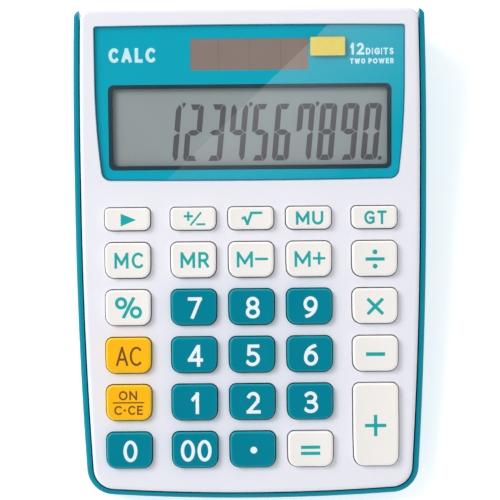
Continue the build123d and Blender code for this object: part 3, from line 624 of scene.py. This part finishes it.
def legend(key):
    """A key's legend as strips in millimetres about the cap's centre, and its ink."""
    if key in "0123456789":
        width = FIGURE_WIDTHS.get(key, FIGURE_WIDE)
        return word_strips(key, FIGURE_SHIFT, width, FIGURE_HIGH, FIGURE_WEIGHT), white_ink
    if key == "00":
        return word_strips("00", FIGURE_SHIFT, 9.1, FIGURE_HIGH, FIGURE_WEIGHT, 0.12), white_ink
    if key == "point":
        return [disc_strip(0.3, -0.2, 1.0)], white_ink
    if key == "all_clear":
        return word_strips("AC", (0.05, -0.25), 7.5, 5.7, 0.62, 0.08), brown_ink
    if key == "on_clear":
        upper = word_strips("ON", (-0.25, 2.15), 5.4, 2.7, 0.46)
        line = [bar_strip(-0.1, 0.05, 9.3, 0.36)]
        lower = word_strips("C", (-3.2, -2.2), 2.25, 2.7, 0.46) + [disc_strip(-1.25, -2.2, 0.34)]
        return upper + line + lower + word_strips("CE", (1.95, -2.2), 4.4, 2.7, 0.46), brown_ink
    if key == "backspace":
        return [arrow_strip(0.3, -0.25, 4.5, 3.7)], turquoise_ink
    if key == "sign_change":
        plus = glyph_strips("plus", -2.75, -0.65, 2.7, 2.7, 0.66)
        slash = glyph_strips("slash", -0.95, -2.15, 3.5, 4.1, 0.56)
        minus = [bar_strip(2.3, -1.7, 2.6, 0.6)]
        return plus + slash + minus, turquoise_ink
    if key == "square_root":
        return word_strips(["root"], (0.3, -0.1), 6.2, 4.0, 0.74), turquoise_ink
    if key == "markup":
        return word_strips("MU", (0.3, -0.1), 8.1, 4.0, 0.76), turquoise_ink
    if key == "grand_total":
        return word_strips("GT", (0.3, -0.1), 6.6, 4.0, 0.74), turquoise_ink
    if key == "memory_clear":
        return word_strips("MC", (0.35, -0.05), 8.5, LETTER_HIGH, 0.78), turquoise_ink
    if key == "memory_recall":
        return word_strips("MR", (0.45, -0.05), 8.5, LETTER_HIGH, 0.8), turquoise_ink
    if key == "memory_minus":
        letter = glyph_strips("M", -4.25, LETTER_LOW, 4.75, LETTER_HIGH, 0.78)
        return letter + [bar_strip(3.05, 0.1, 3.8, 0.74)], turquoise_ink
    if key == "memory_plus":
        letter = glyph_strips("M", -4.25, LETTER_LOW, 4.75, LETTER_HIGH, 0.78)
        return letter + glyph_strips("plus", 1.15, -1.7, 3.7, 3.7, 0.74), turquoise_ink
    if key == "percent":
        return word_strips("%", (0.15, 0), 8.0, 6.35, 0.95), turquoise_ink
    if key == "divide":
        dots = [disc_strip(0.1, height, 0.72) for height in (1.9, -2.3)]
        return [bar_strip(0.1, -0.2, 5.65, 1.0), *dots], turquoise_ink
    if key == "multiply":
        return glyph_strips("times", -2.5, -2.75, 5.1, 5.1, 0.98), turquoise_ink
    if key == "minus":
        return [bar_strip(0, -0.2, 5.65, 1.1)], turquoise_ink
    if key == "plus":
        return glyph_strips("plus", -3.3, -3.45, 6.3, 6.3, 1.0), turquoise_ink
    return [bar_strip(0, height, 5.7, 0.95) for height in (0.5, -1.3)], turquoise_ink  # equals


for body in key_bodies:
    cap = body.removesuffix("_body")
    key = cap.removeprefix("key_")
    wear(cap, teal_cap if key in TEAL_KEYS else yellow_cap if key in YELLOW_KEYS else white_cap)
    cap_mesh = frame["nodes"][cap].data
    surface = BVHTree.FromPolygons(corners(cap), [face.vertices for face in cap_mesh.polygons])
    strips, ink_used = legend(key)
    cap_sheet = sheet_on(cap, keypad_rear, keypad_up)
    printed_legend = film_body("legend_" + key, in_metres(strips), cap_sheet, ink_used, body, surface)

# ---- Display ----
# A liquid crystal module: two sheets of glass with a film on the front and a reflector on the back,
# held under the cover by a foam gasket. A dark moulded frame surrounds its view.
wear("lcd_bezel", moulded("slate_bezel_abs", "#213540", "#283e4a", 0.4, 0.3, 0.01))
wear("lcd_gasket", moulded("black_foam_tape", "#0e0e0f", "#19191a", 0.85, 0.25, 0.05))
wear("lcd_reflector", metal("silvered_reflector_film", "#a5a8a2", "#b4b7b0", 0.45, 0.3))
# Antiglare film: an even, matt grey-green.
wear("lcd_polariser", moulded("antiglare_polariser_film", "#959c9c", "#9ba2a2", 0.5, 0.12, 0.004, 20.0))


def glass(name, tint, ior, shine=0.5):
    """Clear polished sheet: light goes through, with a weak tint and next to no haze."""
    material, tree, shader, place = start_material(name)
    haze = node(tree, "ShaderNodeTexNoise", {"Vector": place, "Scale": 1 / (18 * MM), "Detail": 2.0})
    film_haze = node(
        tree, "ShaderNodeMapRange", {"Value": haze.outputs["Fac"], "To Min": 0.0, "To Max": 0.001}
    )
    tree.links.new(film_haze.outputs["Result"], shader.inputs["Roughness"])
    shader.inputs["Base Color"].default_value = hex_colour(tint)
    shader.inputs["Transmission Weight"].default_value = 1.0
    shader.inputs["IOR"].default_value = ior
    shader.inputs["Specular IOR Level"].default_value = shine
    return material


sheet_glass = glass("soda_lime_sheet_glass", "#e4efe9", 1.52)
wear("lcd_front_glass", sheet_glass)
wear("lcd_rear_glass", sheet_glass)

# The digits, in millimetres: seven bars each, mitred where they meet with a hair of clear glass
# between, and leaning to the right. They show 1'234'567'890. at the right of twelve places.
DIGIT_WIDE = 4.95
DIGIT_HIGH = 16.8
BAR = 1.62
HAIR = 0.12  # half the clear line between two bars
CUT = 0.9  # the outer corner that is cut off
TIP = 0.35 * BAR  # how far the middle bar's points and their notches reach
PITCH = 6.59
LEAN = tan(radians(5.3))
LAST_DIGIT_X = 35.95
DIGITS_Y = -1.7
SHOWN = "1234567890"
COMMA_PLACES = (3, 6, 9)  # places, counted from the last digit, with a separator after them
COMMA = (DIGIT_WIDE / 2 + 0.62, DIGIT_HIGH / 2 + 0.02, 0.56)  # x, y and radius
POINT = (DIGIT_WIDE / 2 + 0.74, -DIGIT_HIGH / 2 + 0.5, 0.6)
BARS_OF = {
    "0": "abcdef", "1": "bc", "2": "abged", "3": "abgcd", "4": "fgbc",
    "5": "afgcd", "6": "afgedc", "7": "fabc", "8": "abcdefg", "9": "afgbcd",
}


def mirror_x(shape):
    """An outline mirrored left to right, still in the same sense of turning."""
    return [(-x, y) for x, y in reversed(shape)]


def mirror_y(shape):
    """An outline mirrored top to bottom, still in the same sense of turning."""
    return [(x, -y) for x, y in reversed(shape)]


def bar_outlines():
    """The outline of each bar of a digit about its centre, in millimetres, as convex polygons."""
    w, h = DIGIT_WIDE / 2, DIGIT_HIGH / 2
    mitre = w - BAR - HAIR * 0.6
    across = [(-w + CUT + HAIR, h), (w - CUT - HAIR, h), (mitre, h - BAR), (-mitre, h - BAR)]
    upper_right = [
        (w - CUT + HAIR, h), (w, h - CUT), (w, 2 * HAIR), (w - TIP, HAIR),
        (w - BAR, BAR / 2 + HAIR), (w - BAR, h - BAR - HAIR),
    ]
    middle = [
        (-w + TIP + HAIR, 0), (-w + BAR + HAIR, BAR / 2), (w - BAR - HAIR, BAR / 2),
        (w - TIP - HAIR, 0), (w - BAR - HAIR, -BAR / 2), (-w + BAR + HAIR, -BAR / 2),
    ]
    return {
        "a": across, "d": mirror_y(across), "g": middle, "b": upper_right, "c": mirror_y(upper_right),
        "f": mirror_x(upper_right), "e": mirror_x(mirror_y(upper_right)),
    }


def plate_body(name, outlines, sheet, material, body, rise, sink):
    """Closed thin bodies, one for each outline in metres."""
    vertices, faces = [], []
    for outline in outlines:
        start, count = len(vertices), len(outline)
        vertices += [sheet.at(x, y, rise) for x, y in outline]
        vertices += [sheet.at(x, y, -sink) for x, y in outline]
        faces.append(tuple(range(start, start + count)))
        faces.append(tuple(reversed(range(start + count, start + 2 * count))))
        for place in range(count):
            after = (place + 1) % count
            faces.append((start + place, start + count + place, start + count + after, start + after))
    return new_piece(name, vertices, faces, material, body)


def round_outline(x, y, radius, corners_used=20):
    """The decimal point."""
    turns = [2 * pi * step / corners_used for step in range(corners_used)]
    return [(x + radius * cos(turn), y + radius * sin(turn)) for turn in turns]


def comma_outline(x, y, radius):
    """A round head with a short tail that bends down to the left."""
    turns = [radians(-70 + 250 * step / 14) for step in range(15)]
    head = [(x + radius * cos(turn), y + radius * sin(turn)) for turn in turns]
    return head + [(x - 0.55 * radius, y - 1.0 * radius), (x - 0.35 * radius, y - 1.9 * radius)]


digit_outlines = []
bars = bar_outlines()
for place, digit in enumerate(reversed(SHOWN)):
    centre = LAST_DIGIT_X - PITCH * place
    shapes = [bars[bar] for bar in BARS_OF[digit]]
    if place in COMMA_PLACES:
        shapes.append(comma_outline(*COMMA))
    if place == 0:
        shapes.append(round_outline(*POINT))
    for shape in shapes:
        digit_outlines.append([((centre + x + y * LEAN) * MM, (DIGITS_Y + y) * MM) for x, y in shape])
# Crystal that is switched on: a warm dark grey, as matt as the film over it.
segment_dark = moulded("dark_crystal_segments", "#59565b", "#5f5c61", 0.5, 0.12, 0.004, 20.0)
lcd = sheet_on("lcd_polariser", display_rear, display_up)
segments = plate_body("lcd_segments", digit_outlines, lcd, segment_dark, "housing", 0.03 * MM, 0.05 * MM)

# ---- Solar cell ----
# Amorphous silicon on glass behind an opening in the film, four strips wired in a row with
# hairline gaps. It is brown by reflection, with a faint cloudiness from the coating.
CELL_STRIPS = 4
GAP_SHARE = 0.012  # of a strip's width, on each side of a gap
material, tree, shader, place = start_material("amorphous_silicon_cell")
cell_low, cell_high = span("solar_cell", X)
strips_per_metre = CELL_STRIPS / (cell_high - cell_low)
split = node(tree, "ShaderNodeSeparateXYZ", {"Vector": place})
phase = node(tree, "ShaderNodeMath", {0: split.outputs["X"], 1: strips_per_metre}, operation="MULTIPLY")
wave = node(tree, "ShaderNodeMath", {0: phase.outputs[0], 1: 0.5}, operation="PINGPONG")
line = node(tree, "ShaderNodeMath", {0: wave.outputs[0], 1: GAP_SHARE}, operation="LESS_THAN")
clouds = node(tree, "ShaderNodeTexNoise", {"Vector": place, "Scale": 1 / (9 * MM), "Detail": 3.0})
brown = node(
    tree, "ShaderNodeMix",
    {FACTOR: clouds.outputs["Fac"], COLOUR_A: hex_colour("#8d7973"), COLOUR_B: hex_colour("#937f78")},
    data_type="RGBA",
)
striped = node(
    tree, "ShaderNodeMix",
    {FACTOR: line.outputs[0], COLOUR_A: brown.outputs[MIXED], COLOUR_B: hex_colour("#85716b")},
    data_type="RGBA",
)
tree.links.new(striped.outputs[MIXED], shader.inputs["Base Color"])
shader.inputs["Roughness"].default_value = 0.25
wear("solar_cell", material)

# ---- Window ----
# A polished clear acrylic lens over a film that is screen printed teal, both laid in the cover's
# seat. The lens lets lamps through, as thin clear plastic does.
wear("window_film", moulded("teal_screen_print", "#00a6be", "#00aac1", 0.42, 0.2, 0.004, 22.0, 0.04))
# Polished acrylic: colourless, and bright only where a lamp is mirrored in it.
wear("window_lens", glass("polished_acrylic", "#fbfffe", 1.49, 0.16))
lens = frame["nodes"]["window_lens"]
lens.visible_shadow = False
lens.visible_diffuse = False

PRINT_RISE, PRINT_SINK = 0.012 * MM, 0.01 * MM  # the lens lies a hair above the film
PANEL_WORDS = [  # text, centre, width, height, weight in mm, and the gap as a share of the height
    ("12", (31.75, 15.6), 4.2, 3.5, 0.7, 0.18),
    ("DIGITS", (38.4, 14.85), 8.2, 2.0, 0.46, 0.2),
    ("TWO", (31.9, 12.0), 4.5, 1.6, 0.4, 0.2),
    ("POWER", (38.8, 12.0), 7.5, 1.6, 0.4, 0.2),
    ("CALC", (-34.6, 14.2), 13.8, 4.3, 1.0, 0.2),
]
film = sheet_on("window_film", display_rear, display_up)
print_strips = []
for words in PANEL_WORDS:
    print_strips += word_strips(*words)
lettering = film_body(
    "window_lettering", in_metres(print_strips), film, ink("white_screen_ink", "#cdeef3", "#d8f4f8"),
    "housing", rise=PRINT_RISE, sink=PRINT_SINK,
)

# A painted shade: a darker teal line round the film's edge stands for the shadow in the gap where the lens
# meets the cover.
GAP_SHADE_LINE = 0.38 * MM
flat = []
for corner in corners("window_film"):
    offset = corner - film.origin
    flat.append(Vector((offset.dot(X), offset.dot(display_rear))))
rim = [flat[order] for order in convex_hull_2d(flat)]
rim_pairs = []
for order, point in enumerate(rim):
    along = (rim[(order + 1) % len(rim)] - rim[order - 1]).normalized()
    inward = Vector((-along.y, along.x))
    rim_pairs.append([point, point + inward * GAP_SHADE_LINE])
gap_shade_line = film_body(
    "window_gap_shade_line", [(rim_pairs, True)], film, ink("painted_gap_shade", "#005f73", "#00657a"),
    "housing", rise=PRINT_RISE, sink=PRINT_SINK,
)

# ---- Sticker ----
# Metallised polyester with a faint embossed pattern, stuck on the lens by hand. It is a bright,
# satin gold, crinkled where it was pressed down.
material, tree, shader, place = start_material("embossed_gold_foil")
crinkle = node(tree, "ShaderNodeTexNoise", {"Vector": place, "Scale": 1 / (1.6 * MM), "Detail": 4.0})
gold = node(
    tree, "ShaderNodeMix",
    {FACTOR: crinkle.outputs["Fac"], COLOUR_A: hex_colour("#ffdf68"), COLOUR_B: hex_colour("#fff08c")},
    data_type="RGBA",
)
tree.links.new(gold.outputs[MIXED], shader.inputs["Base Color"])
emboss = node(
    tree, "ShaderNodeBump", {"Height": crinkle.outputs["Fac"], "Strength": 0.4, "Distance": 0.05 * MM}
)
tree.links.new(emboss.outputs["Normal"], shader.inputs["Normal"])
shader.inputs["Metallic"].default_value = 0.35
shader.inputs["Roughness"].default_value = 0.42
wear("foil_sticker", material)

# ---- Table, camera and light ----
# A plain white table, the camera square over the keypad, a softbox whose straight edge crosses the
# window as a slanting gloss line, and soft light from all round.
TABLE_REACH = 3.0
table_corners = [(-1, -1), (1, -1), (1, 1), (-1, 1)]
floor_mesh = bpy.data.meshes.new("table_top")
floor_mesh.from_pydata([(x * TABLE_REACH, y * TABLE_REACH, 0) for x, y in table_corners], [], [(0, 1, 2, 3)])
table_white = moulded("white_backlit_table", "#fbfbfb", "#ffffff", 0.7, 2.0, 0.05, 300.0)
table_shader = table_white.node_tree.nodes["Principled BSDF"]
table_shader.inputs["Emission Color"].default_value = hex_colour("#ffffff")
table_shader.inputs["Emission Strength"].default_value = 0.45
floor_mesh.materials.append(table_white)
floor = bpy.data.objects.new("table_top", floor_mesh)
bpy.context.scene.collection.objects.link(floor)

CAMERA_HIGH = 0.6
VIEW_WIDE = 0.1482  # what the camera sees across, at the keypad
TURN = radians(0.5)
AIM_X = -0.32 * MM
AIM_BACK = 74.2 * MM  # behind the front of the housing
KEY_RISE = 2.2 * MM
SENSOR_WIDE = 36.0
case_front = span("rear_housing", keypad_rear)[0]
keypad_level = span("key_5", keypad_up)[1] - KEY_RISE
aim = X * AIM_X + keypad_up * keypad_level + keypad_rear * (case_front + AIM_BACK)
camera_data = bpy.data.cameras.new("camera")
camera_data.sensor_width = SENSOR_WIDE
camera_data.lens = SENSOR_WIDE * CAMERA_HIGH / VIEW_WIDE
camera_data.clip_start = 0.01
camera = bpy.data.objects.new("camera", camera_data)
right = X * cos(TURN) - keypad_rear * sin(TURN)
camera_top = keypad_up.cross(right)
camera_place = aim + keypad_up * CAMERA_HIGH
camera_turn = Matrix((right, camera_top, keypad_up)).transposed().to_4x4()
camera.matrix_world = Matrix.Translation(camera_place) @ camera_turn
bpy.context.scene.collection.objects.link(camera)
bpy.context.scene.camera = camera

# The room is bright all round and dark straight above, so that flat faces mirror little light.
world = bpy.data.worlds.new("soft_room")
world.use_nodes = True
sky = world.node_tree
direction = node(sky, "ShaderNodeTexCoord").outputs["Generated"]
overhead = node(sky, "ShaderNodeSeparateXYZ", {"Vector": direction})
dimming = node(
    sky, "ShaderNodeMapRange",
    {"Value": overhead.outputs["Z"], "From Min": 0.84, "From Max": 0.95, "To Min": 0.79, "To Max": 0.07},
)
sky.links.new(dimming.outputs["Result"], sky.nodes["Background"].inputs["Strength"])
sky.nodes["Background"].inputs["Color"].default_value = (0.97, 0.98, 1.0, 1.0)
bpy.context.scene.world = world


def softbox(name, middle, across, down, watts):
    """A rectangular lamp about a point, its sides along two vectors, its lit side to the object."""
    lamp = bpy.data.lights.new(name, "AREA")
    lamp.shape = "RECTANGLE"
    lamp.size, lamp.size_y = across.length, down.length
    lamp.energy = watts
    holder = bpy.data.objects.new(name, lamp)
    side, top = across.normalized(), down.normalized()
    facing = side.cross(top)
    if facing.dot(middle) < 0:
        top, facing = -top, -facing
    holder.matrix_world = Matrix.Translation(middle) @ Matrix((side, top, facing)).transposed().to_4x4()
    bpy.context.scene.collection.objects.link(holder)
    return holder


# The gloss softbox's edge is found by following the camera's sight off two points of the window.
GLOSS_AWAY = 1.5
GLOSS_LONG, GLOSS_WIDE = 0.5, 0.125
GLOSS_WATTS = 0.21
lens_top = sheet_on("window_lens", display_rear, display_up)
mirrored_eye = camera_place - 2 * (camera_place - lens_top.origin).dot(display_up) * display_up
edge_points = [lens_top.at(22.9 * MM, 22.6 * MM), lens_top.at(-25.2 * MM, -22.9 * MM)]
thrown = [mirrored_eye + (point - mirrored_eye) * (1 + GLOSS_AWAY / CAMERA_HIGH) for point in edge_points]
edge = (thrown[0] - thrown[1]).normalized()
away = (thrown[0] - lens_top.origin).normalized()
outwards = edge.cross(away).normalized()
if outwards.x < 0:
    outwards = -outwards
gloss_middle = (thrown[0] + thrown[1]) / 2 + outwards * GLOSS_WIDE / 2
gloss_lamp = softbox("gloss_softbox", gloss_middle, edge * GLOSS_LONG, outwards * GLOSS_WIDE, GLOSS_WATTS)

# Its cloth is brightest along the edge by the lamp head and fades across the box and down it.
gloss_lamp.data.use_nodes = True
cloth = gloss_lamp.data.node_tree
cloth_place = node(cloth, "ShaderNodeNewGeometry").outputs["Parametric"]
on_cloth = node(cloth, "ShaderNodeSeparateXYZ", {"Vector": cloth_place})
along_cloth = node(
    cloth, "ShaderNodeMapRange",
    {"Value": on_cloth.outputs["X"], "From Min": 0.26, "From Max": 0.74, "To Min": 0.3},
)
faded = node(
    cloth, "ShaderNodeMath",
    {0: on_cloth.outputs["Y"], 1: along_cloth.outputs["Result"]},
    operation="MULTIPLY",
)
cloth.links.new(faded.outputs[0], cloth.nodes["Emission"].inputs["Strength"])

# The key softbox gives the soft shadows to the right of the keys.
KEY_BOX_SIDE = 0.7
KEY_BOX_WATTS = 13.0
key_middle = Vector((-0.9, 0.5, 1.1))
key_across = Vector((0.5, 0.9, 0)).normalized()
key_down = key_across.cross(key_middle.normalized())
softbox("key_softbox", key_middle, key_across * KEY_BOX_SIDE, key_down * KEY_BOX_SIDE, KEY_BOX_WATTS)

bpy.context.scene.view_settings.view_transform = "Standard"
bpy.context.scene.view_settings.look = "None"
